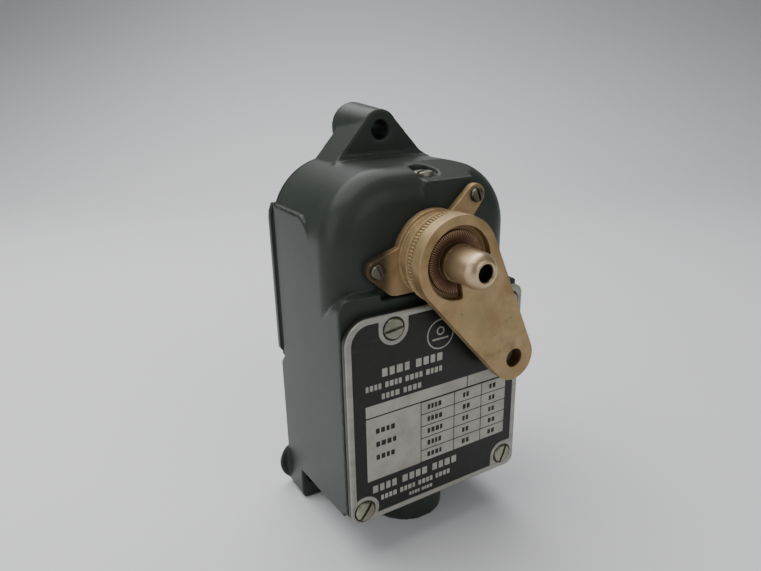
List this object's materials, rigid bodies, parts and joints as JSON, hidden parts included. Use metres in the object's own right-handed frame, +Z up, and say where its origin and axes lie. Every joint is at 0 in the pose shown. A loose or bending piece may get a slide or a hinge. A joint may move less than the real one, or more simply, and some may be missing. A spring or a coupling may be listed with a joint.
{
  "type": "limit switch",
  "caption": "Heavy-duty lever limit switch: a die-cast case with a domed head, a bronze lever on a serrated hub, mounting ear, lower lugs and a conduit hub.",
  "frame": {"origin": "centre of the bounding box in x and y, on the plane the conduit hub and the lower lugs stand on", "axes": "+Z up from the conduit hub to the mounting ear, +Y out of the mounting face at the back, the cover and the lever face -Y"},
  "size_m": [0.075, 0.0764, 0.1458],
  "materials": {
    "case_paint": "grey-green enamel on a die casting, semi-gloss, worn at the edges",
    "cover_metal": "bare brushed aluminium",
    "label_black": "black enamel, satin",
    "gasket": "matte",
    "screw_steel": "turned steel, dulled",
    "bronze": "cast bronze, satin with darker grooves",
    "shaft_steel": "ground steel",
    "brass_parts": "machined brass",
    "contact_silver": "silver contact tips, satin",
    "bakelite": "moulded phenolic, semi-gloss",
    "spring_steel": "drawn wire",
    "ground_green": "green-coated screw"
  },
  "bodies": {
    "case": {"housing": "case_paint", "mounting_ear": "case_paint", "mounting_lugs": "case_paint", "conduit_hub": "case_paint", "cover": "cover_metal", "nameplate": "label_black", "cover_gasket": "gasket", "cover_screws": "screw_steel", "rear_cover": "case_paint", "rear_gasket": "gasket", "rear_screws": "screw_steel", "top_plug": "screw_steel", "bearing_flange": "bronze", "flange_gasket": "gasket", "flange_screws": "bronze", "shaft_seal": "gasket", "shaft_bushing": "brass_parts", "thrust_washer": "brass_parts", "guide_bushing": "brass_parts", "return_spring": "spring_steel", "contact_base": "bakelite", "fixed_contacts": "brass_parts", "fixed_tips": "contact_silver", "terminal_screws": "screw_steel", "base_screws": "screw_steel", "ground_screw": "ground_green"},
    "lever_assembly": {"shaft": "shaft_steel", "drive_disc": "bronze", "drive_key": "shaft_steel", "lever": "bronze", "serrated_washer": "bronze", "hub_nut": "bronze", "retaining_ring": "spring_steel", "crank": "shaft_steel", "cross_pin": "shaft_steel", "crank_pin": "shaft_steel"},
    "roller": {"crank_roller": "brass_parts"},
    "slide": {"slide_yoke": "shaft_steel", "contact_carrier": "bakelite", "contact_bridge": "brass_parts", "bridge_tips": "contact_silver"}
  },
  "joints": [
    {"name": "lever_swing", "type": "hinge", "parent": "case", "child": "lever_assembly", "pos_m": [0, 0, 0.102], "axis": [0, 1, 0], "range_deg": [0, 60], "stiffness_Nm_per_rad": 0.3, "springref_deg": -20.05},
    {"name": "roller_spin", "type": "hinge", "parent": "lever_assembly", "child": "roller", "pos_m": [0.00736, 0.00455, 0.10625], "axis": [0, 1, 0], "continuous": true},
    {"name": "slide_travel", "type": "slide", "parent": "case", "child": "slide", "axis": [0, 0, -1], "range_m": [0, 0.0085], "deforming": ["return_spring"]}
  ],
  "couplings": [
    {"joint": "slide_travel", "follows": "lever_swing", "m_per_rad": 0.0081169}
  ]
}
